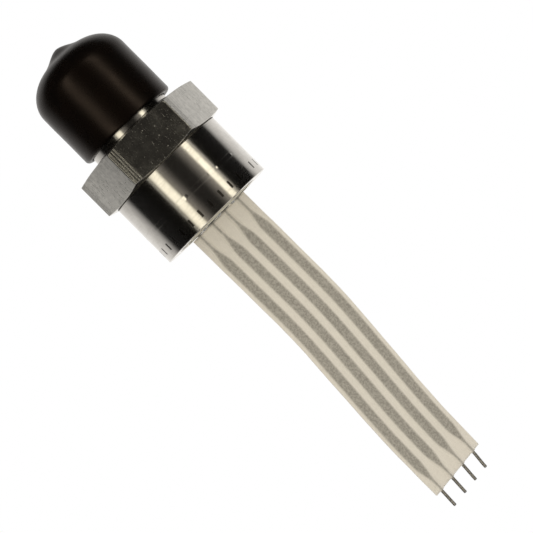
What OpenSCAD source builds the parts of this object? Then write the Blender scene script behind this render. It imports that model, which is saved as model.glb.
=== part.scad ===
// Stainless steel, media isolated pressure sensor with a male pipe port, a flat
// four-wire jumper and a soft protective cap that pulls off the port.
// X runs along the sensor's axis from the port to the jumper, Z is up.
// The origin is the centre of the port's mouth, on the axis. Units are millimetres.

/* [Port and hexagon] */
// Length of the threaded nose, from its mouth to the hexagon
nose_len = 12.7; // [12:0.1:15]
// Crest diameter of the pipe thread at the mouth
crest_d = 13.26; // [13:0.02:13.4]
// Pitch of the pipe thread (18 threads per inch)
thread_pitch = 1.411; // [1.2:0.001:1.6]
// Diameter of the plain neck behind the thread
neck_d = 13.7; // [13:0.1:14]
// Diameter of the pressure bore
bore_d = 4.8; // [3:0.1:5]
// Width of the hexagon across its flats
hex_af = 19.05; // [19:0.05:22]
// Thickness of the hexagon
hex_len = 6.6; // [5:0.05:8]

/* [Housing] */
// Diameter of the flange and of the sensor cell
cell_d = 18.97; // [18.5:0.01:19]
// Length of the flange between the hexagon and the weld seam
flange_len = 5.8; // [5:0.05:7]
// Length of the sensor cell behind the weld seam
cell_len = 4.65; // [4.4:0.05:7]

/* [Protective cap] */
// Outer diameter of the cap
cap_d = 16; // [15.6:0.05:16.5]
// Length of the cap without its nub
cap_len = 13.95; // [13.6:0.05:14.4]
// Width of the bare neck between the cap's rim and the hexagon
cap_gap = 0.86; // [0.5:0.02:1.2]
// Length of the cap's rounded shoulder
cap_shoulder = 4.8; // [4:0.1:5.2]
// Height of the nub on the closed end
nub_height = 1.2; // [0.8:0.05:1.6]

/* [Flat jumper] */
// Number of conductors
conductor_count = 4; // [4]
// Spacing of the conductors
conductor_pitch = 2.54; // [2.54]
// Width of the jumper's film
ribbon_w = 10.16; // [10:0.02:10.4]
// Thickness of one film
film_t = 0.13; // [0.1:0.01:0.16]
// Width of a conductor where it is rolled flat
flat_w = 1.58; // [1.2:0.02:1.8]
// Thickness of a conductor where it is rolled flat
flat_t = 0.12; // [0.1:0.01:0.16]
// Diameter of a conductor where it stays round
pin_d = 0.48; // [0.4:0.02:0.5]
// Length of the round pins at the free end
pin_len = 3.18; // [2:0.01:4]

/* [Hidden] */
$fn = 128;
EPS = 0.01;

// Stations along the axis
hex_x = nose_len;
flange_x = hex_x + hex_len;
seam_x = flange_x + flange_len;
rear_x = seam_x + cell_len;

// Port and hexagon
crest_r = crest_d / 2;
taper = 1 / 32;
thread_depth = 1.0;
first_root_x = 1.8;
thread_rows = 7;
root_flat = 0.12;
thread_end_x = first_root_x + (thread_rows - 0.5) * thread_pitch;
runout = 0.6;
nose_chamfer = 1.0;
bore_r = bore_d / 2;
corner_r = hex_af / sqrt(3);
front_chamfer_r = 6.95;
rear_chamfer_r = 9.53;
front_chamfer_angle = 9;
rear_chamfer_angle = 13;
relief_w = 0.17;
relief_depth = 0.2;

// Weld seam between flange and cell
seam_w = 0.7;
seam_depth = 0.3;

// Pressure chamber in front of the diaphragm
bore_end_x = seam_x - 2.9;
chamber_r = 7.4;
chamber_depth = 0.8;

// Sensor cell
cell_r = cell_d / 2;
rear_edge = 0.12;
oil_r = 5.9;
oil_depth = 1.85;
header_r = 6.4;
header_t = 1.5;
recess_r = 7.4;
header_x = seam_x + oil_depth;
header_rear = header_x + header_t;

// Diaphragm and its weld ring
diaphragm_r = 7.3;
diaphragm_t = 0.08;
wave_height = 0.12;
wave_count = 4;
wave_r = 5.8;
ring_inner_r = 6.1;
ring_t = 0.4;

// Feedthroughs
feed_circle_r = 3.9;
feed_angles = [45, 90, 135, 225, 270, 315];
glass_r = 0.75;
post_r = 0.23;
post_front = 0.85;
glass_end = 0.05;
port_r = 0.3;
ball_r = 0.5;
ball_seat = 0.85;

// Vent tube of the gauge reference side
vent_r = 0.6;
vent_bore_r = 0.35;
vent_socket = 1.0;
vent_clear = 0.1;

// Sensing die, its pedestal and the ceramic spacer
die_w = 2.4;
die_t = 0.4;
pocket_w = 1.2;
pocket_depth = 0.34;
pedestal_t = 0.9;
spacer_outer_r = 5.75;
spacer_inner_r = 4.75;
spacer_t = 1.45;
wire_r = 0.05;
bond_r = 0.09;
arch_r = 0.06;
arch_rise = 0.12;
bond_circle_r = 0.9;
arch_circle_r = 2.2;

// Compensation board
board_r = 6.3;
board_t = 0.64;
board_out = 0.1;
board_rear = rear_x + board_out;
board_x = board_rear - board_t;
vent_end = board_rear + 0.05;
post_hole_r = 0.35;
lead_hole_r = 0.4;
adhesive_inner_r = 4.9;
adhesive_outer_r = 6.1;
notch_r = 0.7;
track_t = 0.03;
track_w = 0.28;
pad_r = 0.72;
resistor_t = 0.06;
resistor_size = [1.5, 0.9];
kerf_w = 0.06;
kerf_share = 0.55;
kerf_offset = 0.1;
resistor_near = [1.35, 2.0];
resistor_far = [5.0, 1.6];
resistor_places = [
    for (side = [-1, 1]) each [
        [side * resistor_near[0], resistor_near[1]],
        [side * resistor_near[0], -resistor_near[1]],
        [side * resistor_far[0], resistor_far[1]],
    ]
];
joint_x = board_rear + track_t;
joint_h = 0.06;
joint_r = 0.6;
joint_waist_r = 0.4;
lead_r = pin_d / 2 + 0.01;
post_end = board_rear + 0.2;
solder_cover = 0.1;

// Cap
cap_wall_gap = 0.05;
cap_rim_x = hex_x - cap_gap;
cap_end_x = cap_rim_x - cap_len;
cap_inner_x = -0.6;
cap_offset = 0.1;
shoulder_reach = 6.3;
rim_tilt = 1.5;
nub_r = 2.6;
nub_tip_r = 1.8;
nub_offset = 0.25;

// Jumper route: distance from the board, sideways place, height and roll of the
// jumper about its own length, at six stations
ribbon_x = board_rear + 0.1;
route = [
    [0, 0, 0, 0],
    [10, 0.15, -0.1, 2.5],
    [20, 0.2, -0.7, 6.5],
    [30, -0.35, -2.0, 10],
    [40, -0.85, -4.1, 13],
    [50.5, -0.9, -6.8, 16],
];
lead_len = 1.1;
near_neck = 2.1;
near_flare = 4;
far_neck = 1.5;
far_flare = 4.1;
channel_gap = 0.01;
ridge = 0.25;
corner_share = 0.58;

// ---- Shared shapes ----

// Turns a profile of [x, radius] points about the X axis
module turned(profile)
    rotate([0, 90, 0])
        rotate_extrude()
            polygon([for (p = profile) [p[1], p[0]]]);

// A disc or rod of radius r from x0 to x1, centred at (y, z)
module disc(x0, x1, r, y = 0, z = 0)
    translate([x0, y, z])
        rotate([0, 90, 0])
            cylinder(h = x1 - x0, r = r);

// Extrudes a flat drawing, whose own X and Y are the part's Y and Z
module plate(x0, thickness)
    translate([x0, 0, 0])
        rotate([90, 0, 90])
            linear_extrude(height = thickness)
                children();

// Centre of a feedthrough in the YZ plane
function feed_point(angle) = feed_circle_r * [cos(angle), sin(angle)];

// Centre of jumper conductor i across the jumper
function lead_y(i) = (i - (conductor_count - 1) / 2) * conductor_pitch;

// Radius of the thread's crests at a distance x from the mouth
function crest_at(x) = crest_r + x * taper;

// ---- Protective cap ----

// Points on an elliptical arc round [cx, cy], rx along the axis and ry across it
function arc(cx, cy, rx, from, to, ry, steps = 16) =
    [for (k = [0:steps]) let (a = from + (to - from) * k / steps) [cx + rx * cos(a), cy + ry * sin(a)]];

module cap_body() {
    shoulder_x = cap_end_x + cap_shoulder;
    shoulder_r = cap_d / 2 - shoulder_reach;
    over = 0.5;
    outline = concat(
        [[cap_end_x, 0]],
        arc(shoulder_x, shoulder_r, cap_shoulder, 180, 90, shoulder_reach),
        [[cap_rim_x + over, cap_d / 2], [cap_rim_x + over, 0]]
    );
    nub = concat(
        [[cap_end_x + 1, 0], [cap_end_x + 1, nub_r], [cap_end_x, nub_r]],
        arc(cap_end_x - nub_height + nub_tip_r, 0, nub_tip_r, 128, 180, nub_tip_r, 8)
    );
    translate([0, cap_offset, 0]) {
        turned(outline);
        translate([0, nub_offset, 0])
            turned(nub);
    }
}

module cap_hollow() {
    inner_r = crest_at(nose_chamfer) + cap_wall_gap;
    inner_x = nose_chamfer - 0.1;
    floor_r = inner_r - (inner_x - cap_inner_x);
    end_x = cap_rim_x + 2;
    turned([
        [cap_inner_x, 0],
        [cap_inner_x, floor_r],
        [inner_x, inner_r],
        [end_x, inner_r + (end_x - inner_x) * taper],
        [end_x, 0],
    ]);
}

module end_cap() color("#1b1715")
    difference() {
        cap_body();
        cap_hollow();
        // The rim is trimmed a little out of square
        translate([cap_rim_x, 0, 0])
            rotate([0, 0, -rim_tilt])
                translate([0, -20, -20])
                    cube([20, 40, 40]);
    }

// ---- Port fitting ----

// One profile for the nose: chamfer, rings of thread crests and roots, neck
function thread_ring(x) = [
    [x - thread_pitch / 2, crest_at(x - thread_pitch / 2)],
    [x - root_flat, crest_at(x) - thread_depth],
    [x + root_flat, crest_at(x) - thread_depth],
];

function nose_profile() = concat(
    [[0, 0], [0, crest_r - nose_chamfer], [nose_chamfer, crest_at(nose_chamfer)]],
    [for (k = [0:thread_rows - 1]) each thread_ring(first_root_x + k * thread_pitch)],
    [
        [thread_end_x, crest_at(thread_end_x)],
        [thread_end_x + runout, neck_d / 2],
        [hex_x + EPS, neck_d / 2],
        [hex_x + EPS, 0],
    ]
);

// The circles that chamfer the corners of the hexagon on both faces
module chamfer_envelope() {
    front_run = (corner_r + 1 - front_chamfer_r) * tan(front_chamfer_angle);
    rear_run = (corner_r + 1 - rear_chamfer_r) * tan(rear_chamfer_angle);
    turned([
        [hex_x, 0],
        [hex_x, front_chamfer_r],
        [hex_x + front_run, corner_r + 1],
        [flange_x - rear_run, corner_r + 1],
        [flange_x, rear_chamfer_r],
        [flange_x, 0],
    ]);
}

module hexagon()
    intersection() {
        translate([hex_x, 0, 0])
            rotate([0, 90, 0])
                rotate(30)
                    cylinder(h = hex_len, r = corner_r, $fn = 6);
        chamfer_envelope();
    }

module port_fitting() color("#a9a69e")
    difference() {
        union() {
            turned(nose_profile());
            hexagon();
            disc(flange_x - EPS, flange_x + relief_w + EPS, cell_r - relief_depth);
            disc(flange_x + relief_w, seam_x, cell_r);
        }
        turned([
            [-EPS, 0],
            [-EPS, bore_r],
            [bore_end_x, bore_r],
            [seam_x - chamber_depth, ring_inner_r],
            [seam_x - chamber_depth, chamber_r],
            [seam_x + EPS, chamber_r],
            [seam_x + EPS, 0],
        ]);
        seam_groove();
    }

// Ring that the weld fills, half in the flange and half in the cell
module seam_groove() {
    outer = cell_r + 1;
    turned([
        [seam_x - seam_w / 2, outer],
        [seam_x - seam_w / 2, cell_r],
        [seam_x - seam_w / 4, cell_r - seam_depth],
        [seam_x + seam_w / 4, cell_r - seam_depth],
        [seam_x + seam_w / 2, cell_r],
        [seam_x + seam_w / 2, outer],
    ]);
}

module weld_seam() color("#bdb9ae")
    turned([
        [seam_x - seam_w / 2, cell_r],
        [seam_x - seam_w / 4, cell_r - seam_depth],
        [seam_x + seam_w / 4, cell_r - seam_depth],
        [seam_x + seam_w / 2, cell_r],
    ]);

// ---- Sensor cell ----

module cell_body() color("#a9a69e")
    difference() {
        turned([
            [seam_x, oil_r],
            [seam_x, cell_r],
            [rear_x - rear_edge, cell_r],
            [rear_x, cell_r - rear_edge],
            [rear_x, recess_r],
            [header_rear, recess_r],
            [header_rear, header_r],
            [header_x, header_r],
            [header_x, oil_r],
        ]);
        seam_groove();
    }

// Height of the corrugations at radius r: none at the centre and at the clamped rim
function wave(r) =
    r >= wave_r ? 0 : -wave_height * (1 - cos(360 * wave_count * r / wave_r));

module diaphragm() color("#c9c6bf")
    turned(concat(
        [for (k = [0:60]) let (r = diaphragm_r * k / 60) [seam_x - diaphragm_t + wave(r), r]],
        [for (k = [60:-1:0]) let (r = diaphragm_r * k / 60) [seam_x + wave(r), r]]
    ));

module diaphragm_ring() color("#b5b2aa")
    turned([
        [seam_x - diaphragm_t - ring_t, ring_inner_r],
        [seam_x - diaphragm_t - ring_t, diaphragm_r],
        [seam_x - diaphragm_t, diaphragm_r],
        [seam_x - diaphragm_t, ring_inner_r],
    ]);

module ceramic_spacer() color("#ece8dc")
    difference() {
        disc(header_x - spacer_t, header_x, spacer_outer_r);
        disc(header_x - spacer_t - 1, header_x + 1, spacer_inner_r);
    }

// ---- Header with its feedthroughs ----

module header() color("#b0a98f")
    difference() {
        disc(header_x, header_rear, header_r);
        for (a = feed_angles)
            disc(header_x - 1, header_rear + 1, glass_r, feed_point(a)[0], feed_point(a)[1]);
        disc(header_x - 1, header_rear + 1, vent_bore_r);
        disc(header_rear - vent_socket, header_rear + 1, vent_r);
        disc(header_x - 1, header_rear + 1, port_r, feed_circle_r);
        disc(header_rear - ball_seat, header_rear + 1, ball_r, feed_circle_r);
    }

module glass_beads() color("#3f6f63")
    for (a = feed_angles)
        difference() {
            disc(
                header_x + glass_end, header_rear - glass_end,
                glass_r, feed_point(a)[0], feed_point(a)[1]
            );
            disc(header_x - 1, header_rear + 1, post_r, feed_point(a)[0], feed_point(a)[1]);
        }

module header_pins() color("#d8b45a")
    for (a = feed_angles)
        disc(header_x - post_front, post_end, post_r, feed_point(a)[0], feed_point(a)[1]);

module fill_ball() color("#c8c8c8")
    translate([header_rear - ball_seat + ball_r, feed_circle_r, 0])
        sphere(r = ball_r);

module vent_tube() color("#c0bdb5")
    difference() {
        disc(header_rear - vent_socket, vent_end, vent_r);
        disc(header_rear - vent_socket - 1, vent_end + 1, vent_bore_r);
    }

// ---- Sensing element ----

module die_pedestal() color("#cfe3e6")
    difference() {
        translate([header_x - pedestal_t, -die_w / 2, -die_w / 2])
            cube([pedestal_t, die_w, die_w]);
        disc(header_x - pedestal_t - 1, header_x + 1, vent_bore_r);
    }

module sense_die() color("#4a4d57")
    difference() {
        translate([header_x - pedestal_t - die_t, -die_w / 2, -die_w / 2])
            cube([die_t, die_w, die_w]);
        translate([header_x - pedestal_t - pocket_depth, -pocket_w / 2, -pocket_w / 2])
            cube([pocket_depth + 1, pocket_w, pocket_w]);
    }

// Round rod between two points
module rod(p, q, r) {
    d = q - p;
    length = norm(d);
    translate(p)
        rotate([0, acos(d[2] / length), atan2(d[1], d[0])])
            cylinder(h = length, r = r, $fn = 16);
}

// Point at a station x, a distance r from the axis in the direction of angle
function polar_point(x, r, angle) = [x, r * cos(angle), r * sin(angle)];

module ball(centre, r)
    translate(centre)
        sphere(r = r, $fn = 24);

// One wire from a ball on the die's face, over a low arch, to a ball on its post
module bond_wire(angle) {
    die_x = header_x - pedestal_t - die_t - bond_r;
    post_x = header_x - post_front - bond_r;
    start = polar_point(die_x, bond_circle_r, angle);
    top = polar_point(die_x - arch_rise, arch_circle_r, angle);
    end = polar_point(post_x, feed_circle_r, angle);
    rod(start, top, wire_r);
    rod(top, end, wire_r);
    ball(start, bond_r);
    ball(top, arch_r);
    ball(end, bond_r);
}

module bond_wires() color("#e0b84c")
    for (a = feed_angles)
        bond_wire(a);

// ---- Compensation board ----

module board_adhesive() color("#e6e3da")
    difference() {
        disc(header_rear, board_x, adhesive_outer_r);
        disc(header_rear - 1, board_x + 1, adhesive_inner_r);
    }

module compensation_board() color("#e9e5d8")
    difference() {
        disc(board_x, board_rear, board_r);
        for (a = feed_angles)
            disc(board_x - 1, board_rear + 1, post_hole_r, feed_point(a)[0], feed_point(a)[1]);
        for (i = [0:conductor_count - 1])
            disc(board_x - 1, board_rear + 1, lead_hole_r, lead_y(i));
        disc(board_x - 1, board_rear + 1, vent_r + vent_clear);
        disc(board_x - 1, board_rear + 1, notch_r, 0, -board_r);
    }

module track(from, to) {
    d = to - from;
    translate(from)
        rotate(atan2(d[1], d[0]))
            translate([0, -track_w / 2])
                square([norm(d), track_w]);
}

// Printed pads and tracks on the board's outer face
module track_drawing() {
    for (a = feed_angles)
        translate(feed_point(a))
            circle(r = pad_r);
    for (i = [0:conductor_count - 1])
        translate([lead_y(i), 0])
            circle(r = pad_r);
    inner = lead_y(2);
    outer = lead_y(3);
    for (side = [-1, 1]) {
        upper_post = feed_point(90 - side * 45);
        lower_post = feed_point(270 + side * 45);
        track([side * outer, 0], upper_post);
        track([side * outer, 0], lower_post);
        track([side * inner, 0], [side * inner, resistor_near[1]]);
        track([side * inner, 0], [side * inner, -resistor_near[1]]);
        track([side * resistor_near[0], resistor_near[1]], feed_point(90));
        track([side * resistor_near[0], -resistor_near[1]], feed_point(270));
        track([side * resistor_far[0], resistor_far[1]], [side * outer, 0]);
        track([side * resistor_far[0], resistor_far[1]], upper_post);
    }
}

module board_tracks() color("#9c988c")
    plate(board_rear, track_t)
        difference() {
            track_drawing();
            for (a = feed_angles)
                translate(feed_point(a))
                    circle(r = post_hole_r);
            for (i = [0:conductor_count - 1])
                translate([lead_y(i), 0])
                    circle(r = lead_hole_r);
            circle(r = vent_r + vent_clear + track_w / 2);
            resistor_outlines();
        }

module resistor_outlines()
    for (p = resistor_places)
        translate(p)
            square(resistor_size, center = true);

// Printed resistors, each with the kerf of its laser trim
module trim_resistors() color("#23262b")
    plate(board_rear, resistor_t)
        difference() {
            resistor_outlines();
            for (p = resistor_places)
                translate(p + [kerf_offset, -resistor_size[1] / 2 - EPS])
                    square([kerf_w, resistor_size[1] * kerf_share]);
        }

// Solder over the end of each post
module pin_joints() color("#c6c8ca")
    for (a = feed_angles)
        translate([0, feed_point(a)[0], feed_point(a)[1]])
            turned([
                [joint_x, post_r],
                [joint_x, joint_r],
                [joint_x + joint_h, joint_waist_r],
                [post_end + solder_cover, post_r],
                [post_end + solder_cover, 0],
                [post_end, 0],
                [post_end, post_r],
            ]);

// A low ring of solder round each lead
module lead_joints() color("#c6c8ca")
    for (i = [0:conductor_count - 1])
        translate([0, lead_y(i), 0])
            turned([
                [joint_x, lead_r],
                [joint_x, joint_r],
                [joint_x + joint_h, joint_waist_r],
                [joint_x + joint_h, lead_r],
            ]);

// ---- Flat jumper ----

// Smooth curve through the route: value at a place t counted in stations
function route_at(i) =
    i < 0 ? 2 * route[0] - route[1]
    : i >= len(route) ? 2 * route[len(route) - 1] - route[len(route) - 2]
    : route[i];

function spline(a, b, c, d, t) =
    0.5 * (2 * b + (c - a) * t + (2 * a - 5 * b + 4 * c - d) * t * t
        + (3 * b - a - 3 * c + d) * t * t * t);

function route_point(t) =
    let (i = min(floor(t), len(route) - 2))
    spline(route_at(i - 1), route_at(i), route_at(i + 1), route_at(i + 2), t - i);

// Stations per millimetre of jumper, and the jumper's length
stations = len(route) - 1;
samples = 50;
sample_points = [for (k = [0:samples]) route_point(stations * k / samples)];
function place(q) = [q[0], q[1], q[2]];
function run_to(k) =
    k <= 0 ? 0 : run_to(k - 1) + norm(place(sample_points[k]) - place(sample_points[k - 1]));
runs = [for (k = [0:samples]) run_to(k)];
ribbon_len = runs[samples];

// Route parameter at a distance u along the jumper
function station_at(u) =
    let (hits = [for (k = [1:samples]) if (runs[k] >= u) k])
    let (k = len(hits) > 0 ? hits[0] : samples)
    stations / samples * (k - 1 + (u - runs[k - 1]) / (runs[k] - runs[k - 1]));

// Position and frame at a distance u, straight beyond both ends
function unit(v) = v / norm(v);
function tangent(t) =
    let (h = 0.02)
    unit(place(route_point(min(t + h, stations))) - place(route_point(max(t - h, 0))));

function frame_at(u) =
    let (inside = min(max(u, 0), ribbon_len))
    let (t = station_at(inside))
    let (q = route_point(t))
    let (along = u < 0 ? [1, 0, 0] : tangent(t))
    let (flat = unit(cross([0, 0, 1], along)))
    let (lift = cross(along, flat))
    let (across = flat * cos(q[3]) - lift * sin(q[3]))
    let (up = cross(along, across))
    [place(q) + [ribbon_x, 0, 0] + (u - inside) * along, across, up];

function smooth(x) = let (c = min(max(x, 0), 1)) c * c * (3 - 2 * c);

// Share of full flattening at a distance u: 0 is a round wire, 1 is rolled flat
function flatness(u) =
    min(smooth((u - near_neck) / near_flare), smooth((ribbon_len - far_neck - u) / far_flare));

function half_w(u) = pin_d / 2 + (flat_w - pin_d) / 2 * flatness(u);
function half_t(u) = pin_d / 2 + (flat_t - pin_d) / 2 * flatness(u);

// Distances of the cross-sections, closer together where the wires flare
film_stations = concat(
    [0, near_neck / 2],
    [for (k = [0:4]) near_neck + near_flare * k / 4],
    [
        for (k = [1:14])
            let (a = near_neck + near_flare, b = ribbon_len - far_neck - far_flare)
            a + (b - a) * k / 15
    ],
    [for (k = [0:5]) ribbon_len - far_neck - far_flare + far_flare * k / 5],
    [ribbon_len - far_neck / 2, ribbon_len]
);
wire_stations = concat([-lead_len], film_stations, [ribbon_len + pin_len]);

// Eight corners of a wire, w wide and t thick on each side of its centre
function wire_section(u, y) =
    let (w = half_w(u), t = half_t(u), c = t * corner_share)
    [
        [y + w, t - c], [y + w - c, t], [y - w + c, t], [y - w, t - c],
        [y - w, c - t], [y - w + c, -t], [y + w - c, -t], [y + w, c - t],
    ];

// Upper film: its outer face rises over each wire, its inner face clears it
function film_section(u) =
    let (w = half_w(u) + channel_gap, t = half_t(u) + channel_gap, c = half_t(u) * corner_share)
    concat(
        [[-ribbon_w / 2, film_t]],
        [for (i = [0:conductor_count - 1]) let (y = lead_y(i)) each [
            [y - w - ridge, film_t], [y - w, t + film_t], [y + w, t + film_t], [y + w + ridge, film_t],
        ]],
        [[ribbon_w / 2, film_t], [ribbon_w / 2, 0]],
        [for (i = [conductor_count - 1:-1:0]) let (y = lead_y(i)) each [
            [y + w, 0], [y + w, t - c], [y + w - c, t], [y - w + c, t], [y - w, t - c], [y - w, 0],
        ]],
        [[-ribbon_w / 2, 0]]
    );

// Joins the sections at all stations into one closed skin
module sweep(sections, at, flip = 1) {
    n = len(sections[0]);
    m = len(at);
    points = [for (k = [0:m - 1]) let (f = frame_at(at[k])) for (p = sections[k])
        f[0] + p[0] * f[1] + flip * p[1] * f[2]];
    sides = [for (k = [0:m - 2]) for (j = [0:n - 1]) let (a = k * n + j, b = k * n + (j + 1) % n)
        each [[a, b, b + n], [a, b + n, a + n]]];
    caps = [[for (j = [n - 1:-1:0]) j], [for (j = [0:n - 1]) (m - 1) * n + j]];
    faces = concat(sides, caps);
    polyhedron(points, flip > 0 ? faces : [for (f = faces) [for (j = [len(f) - 1:-1:0]) f[j]]]);
}

module ribbon_top_film() color("#d9d4bf")
    sweep([for (u = film_stations) film_section(u)], film_stations);

module ribbon_bottom_film() color("#d9d4bf")
    sweep([for (u = film_stations) film_section(u)], film_stations, -1);

module conductor(i) color("#8f8a80")
    sweep([for (u = wire_stations) wire_section(u, lead_y(i))], wire_stations, -1);

module conductor_1() conductor(0);
module conductor_2() conductor(1);
module conductor_3() conductor(2);
module conductor_4() conductor(3);

end_cap();
port_fitting();
weld_seam();
cell_body();
diaphragm();
diaphragm_ring();
ceramic_spacer();
header();
glass_beads();
header_pins();
fill_ball();
vent_tube();
die_pedestal();
sense_die();
bond_wires();
board_adhesive();
compensation_board();
board_tracks();
trim_resistors();
pin_joints();
lead_joints();
ribbon_top_film();
ribbon_bottom_film();
conductor_1();
conductor_2();
conductor_3();
conductor_4();
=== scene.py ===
import math

import bpy
from mathutils import Matrix, Vector, noise


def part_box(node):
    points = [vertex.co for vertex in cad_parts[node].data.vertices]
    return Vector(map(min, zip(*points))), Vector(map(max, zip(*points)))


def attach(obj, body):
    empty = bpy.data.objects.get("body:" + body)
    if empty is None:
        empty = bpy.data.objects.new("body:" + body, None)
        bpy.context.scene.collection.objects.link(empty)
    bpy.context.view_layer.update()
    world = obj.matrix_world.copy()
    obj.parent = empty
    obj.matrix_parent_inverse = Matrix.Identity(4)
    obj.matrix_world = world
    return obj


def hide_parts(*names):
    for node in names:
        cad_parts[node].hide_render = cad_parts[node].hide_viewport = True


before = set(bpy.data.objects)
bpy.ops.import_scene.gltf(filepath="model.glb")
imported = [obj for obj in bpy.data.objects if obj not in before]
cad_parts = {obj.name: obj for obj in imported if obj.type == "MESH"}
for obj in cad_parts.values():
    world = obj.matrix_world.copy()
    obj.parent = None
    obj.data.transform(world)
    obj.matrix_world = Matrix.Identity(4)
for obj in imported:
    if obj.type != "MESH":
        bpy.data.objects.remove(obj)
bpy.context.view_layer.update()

# The looks of a stainless steel pressure sensor with a flat jumper and a pull-off cap.
# Shapes are worked out in millimetres in the frame's own axes: X runs along the
# sensor from the port to the jumper, and Z is up. Angles round the axis start at
# +Y and turn towards +Z.

MM = 0.001


def span(node):
    """Lowest and highest corners of a CAD node, in millimetres."""
    low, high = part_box(node)
    return low / MM, high / MM


# ---- Driving sizes, in millimetres ----

# Taken from the frame
fitting_low, fitting_high = span("port_fitting")
cell_high = span("cell_body")[1]
weld_low, weld_high = span("weld_seam")
cap_low, cap_high = span("end_cap")
board_high = span("compensation_board")[1]

FLOOR_Z = fitting_low.z
SEAM_X = fitting_high.x
REAR_X = cell_high.x
CELL_R = cell_high.z

# The nose, its taper pipe thread and the bore through it
NOSE_LEN = 12.7
NOSE_CHAMFER = 1.0
CREST_R = 6.63
TAPER = 1 / 32
THREAD_PITCH = 1.411
THREAD_DEPTH = 0.95
HALF_CREST_FLAT = 0.07
HALF_ROOT_FLAT = 0.1
FIRST_ROOT_X = 1.8
THREAD_END_X = 10.97
RUNOUT = 0.6
NECK_R = 6.85
BORE_R = 2.4
BORE_END_X = SEAM_X - 2.9
CHAMBER_X = SEAM_X - 0.8
CHAMBER_R = 7.4
CHAMBER_THROAT_R = 6.1

# The hexagon, with a cone turned on each side of it, and the groove behind it
HEX_END_X = NOSE_LEN + 6.6
HEX_HALF = fitting_high.z
HEX_CORNER_R = fitting_high.y
HEX_SECTOR = math.pi / 3
CORNER_BREAK = 0.02
CORNER_BLEND = 0.08
CONE_BLEND = 0.06
FRONT_CHAMFER_R = 6.95
REAR_CHAMFER_R = 9.53
FRONT_SLOPE = math.tan(math.radians(9))
REAR_SLOPE = math.tan(math.radians(13))
RELIEF_END_X = HEX_END_X + 0.17
RELIEF_R = CELL_R - 0.2

# The weld and the sensor cell
WELD_DEPTH = 0.3
OIL_R = 5.9
HEADER_R = 6.4
HEADER_X = SEAM_X + 1.85
RECESS_X = HEADER_X + 1.5
RECESS_R = 7.4
REAR_EDGE = 0.07

# The cap: its shoulder is a quarter of an ellipse, and its closed end carries a nub
CAP_R = (cap_high.y - cap_low.y) / 2
CAP_OFFSET = (cap_high.y + cap_low.y) / 2
CAP_SHOULDER = 4.8
SHOULDER_REACH = 6.3
CAP_WALL_GAP = 0.05
CAP_LIP = 0.5
NUB_HEIGHT = 1.2
NUB_OFFSET = 0.25
NUB_SLOPE = 0.6
NUB_BLUNT = 0.58
NUB_FILLET = 0.5
NUB_FADE = 1.2
NUB_REACH = 4.2
CAP_END_X = cap_low.x + NUB_HEIGHT
CAP_FLOOR_X = -0.6
RIM_TILT = math.radians(1.5)
RIM_X = NOSE_LEN - 0.86

# The jumper: flat conductors with round ends between two films
BOARD_X = board_high.x
RIBBON_X = BOARD_X + 0.1
RIBBON_W = 10.16
FILM_T = 0.13
LEAD_PITCH = 2.54
LEAD_COUNT = 4
FLAT_W = 1.58
FLAT_T = 0.12
PIN_D = 0.48
PIN_LEN = 3.18
LEAD_IN = 1.1
NEAR_NECK = 2.1
NEAR_FLARE = 4.0
FAR_NECK = 1.5
FAR_FLARE = 4.1
RIDGE = 0.3
FILM_WANDER = 0.012
EDGE_WANDER = 0.035
LEAD_DRIFT = 0.13
DRIFT_START = 26
DRIFT_LEN = 20
PIN_BENDS = (-0.06, -0.07, -0.12, -0.18)

# The jumper's route: distance from its start, sideways place, height and roll in degrees
ROUTE = [
    (0, 0, 0, 0),
    (10, 0.15, -0.1, 2.5),
    (20, 0.2, -0.7, 6.5),
    (30, -0.35, -2.0, 10),
    (40, -0.85, -4.1, 13),
    (50.5, -0.9, -6.8, 16),
]


# ---- Sums that shapes share ----


def smooth(value):
    """0 below 0, 1 above 1 and an S between."""
    held = min(max(value, 0.0), 1.0)
    return held * held * (3 - 2 * held)


def smooth_min(a, b, blend):
    """The smaller of two lengths, with the ridge between them rounded over blend."""
    share = max(blend - abs(a - b), 0) / blend
    return min(a, b) - share * share * blend / 4


def steps_between(start, end, count):
    """Evenly spaced numbers from start to end, count spaces in all."""
    return [start + (end - start) * k / count for k in range(count + 1)]


def ripple(point, size):
    """Smooth noise from -1 to 1, always the same at a point, that changes over about size."""
    return noise.noise(Vector(point) / size)


# ---- Meshes ----

ARC_STEPS = 4
SUPPORT = 0.03


def make_piece(name, points, faces, materials, face_looks=None):
    """A smooth shaded mesh object from points in millimetres."""
    mesh = bpy.data.meshes.new(name)
    mesh.from_pydata([Vector(p) * MM for p in points], [], faces)
    for material in materials:
        mesh.materials.append(material)
    mesh.polygons.foreach_set("use_smooth", [True] * len(faces))
    if face_looks:
        mesh.polygons.foreach_set("material_index", face_looks)
    mesh.update()
    piece = bpy.data.objects.new(name, mesh)
    bpy.context.scene.collection.objects.link(piece)
    return piece


def add_values(piece, name, values):
    """Gives each point of a piece a number that its material reads."""
    attribute = piece.data.attributes.new(name, "FLOAT", "POINT")
    attribute.data.foreach_set("value", values)


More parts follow.
